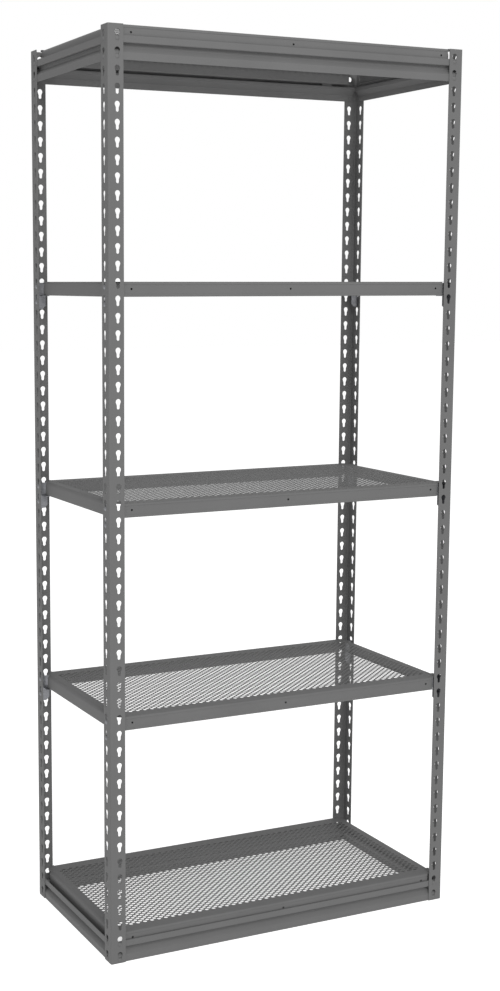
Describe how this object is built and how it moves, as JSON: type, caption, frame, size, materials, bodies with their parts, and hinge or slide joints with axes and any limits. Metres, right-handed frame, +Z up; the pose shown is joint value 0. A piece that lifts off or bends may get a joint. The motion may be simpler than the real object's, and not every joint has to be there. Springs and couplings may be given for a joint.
{
  "type": "boltless steel shelving",
  "caption": "Free-standing boltless steel shelving unit with keyholed angle posts, double-rivet beams, riveted corner brackets and lift-out perforated sheet decks.",
  "frame": {"origin": "on the floor, in the middle of the width and of the depth", "axes": "+X across the width to the right, +Y from the front to the back, +Z up"},
  "size_m": [0.934, 0.476, 2.1336],
  "materials": {
    "post_enamel": "satin grey enamel",
    "beam_enamel": "satin grey enamel",
    "deck_enamel": "satin grey enamel",
    "rivet_enamel": "satin grey enamel",
    "zinc_plate": "dull zinc plate",
    "zinc_rivet": "dull zinc plate"
  },
  "bodies": {
    "frame": {"beam_bottom_front": "beam_enamel", "beam_bottom_left": "beam_enamel", "beam_bottom_rear": "beam_enamel", "beam_bottom_right": "beam_enamel", "beam_top_front": "beam_enamel", "beam_top_left": "beam_enamel", "beam_top_rear": "beam_enamel", "beam_top_right": "beam_enamel", "bracket_lower_front_left": "zinc_plate", "bracket_lower_front_right": "zinc_plate", "bracket_lower_rear_left": "zinc_plate", "bracket_lower_rear_right": "zinc_plate", "bracket_middle_front_left": "zinc_plate", "bracket_middle_front_right": "zinc_plate", "bracket_middle_rear_left": "zinc_plate", "bracket_middle_rear_right": "zinc_plate", "bracket_upper_front_left": "zinc_plate", "bracket_upper_front_right": "zinc_plate", "bracket_upper_rear_left": "zinc_plate", "bracket_upper_rear_right": "zinc_plate", "post_front_left": "post_enamel", "post_front_right": "post_enamel", "post_rear_left": "post_enamel", "post_rear_right": "post_enamel", "rivets_bottom": "rivet_enamel", "rivets_lower": "zinc_rivet", "rivets_middle": "zinc_rivet", "rivets_top": "rivet_enamel", "rivets_upper": "zinc_rivet"},
    "top_deck": {"deck_top": "deck_enamel"},
    "upper_deck": {"deck_upper": "deck_enamel"},
    "middle_deck": {"deck_middle": "deck_enamel"},
    "lower_deck": {"deck_lower": "deck_enamel"},
    "bottom_deck": {"deck_bottom": "deck_enamel"}
  },
  "joints": [
    {"name": "top_deck_lift", "type": "slide", "parent": "frame", "child": "top_deck", "axis": [0, 0, 1], "range_m": [0, 0.1]},
    {"name": "upper_deck_lift", "type": "slide", "parent": "frame", "child": "upper_deck", "axis": [0, 0, 1], "range_m": [0, 0.4]},
    {"name": "middle_deck_lift", "type": "slide", "parent": "frame", "child": "middle_deck", "axis": [0, 0, 1], "range_m": [0, 0.4]},
    {"name": "lower_deck_lift", "type": "slide", "parent": "frame", "child": "lower_deck", "axis": [0, 0, 1], "range_m": [0, 0.4]},
    {"name": "bottom_deck_lift", "type": "slide", "parent": "frame", "child": "bottom_deck", "axis": [0, 0, 1], "range_m": [0, 0.4]}
  ]
}
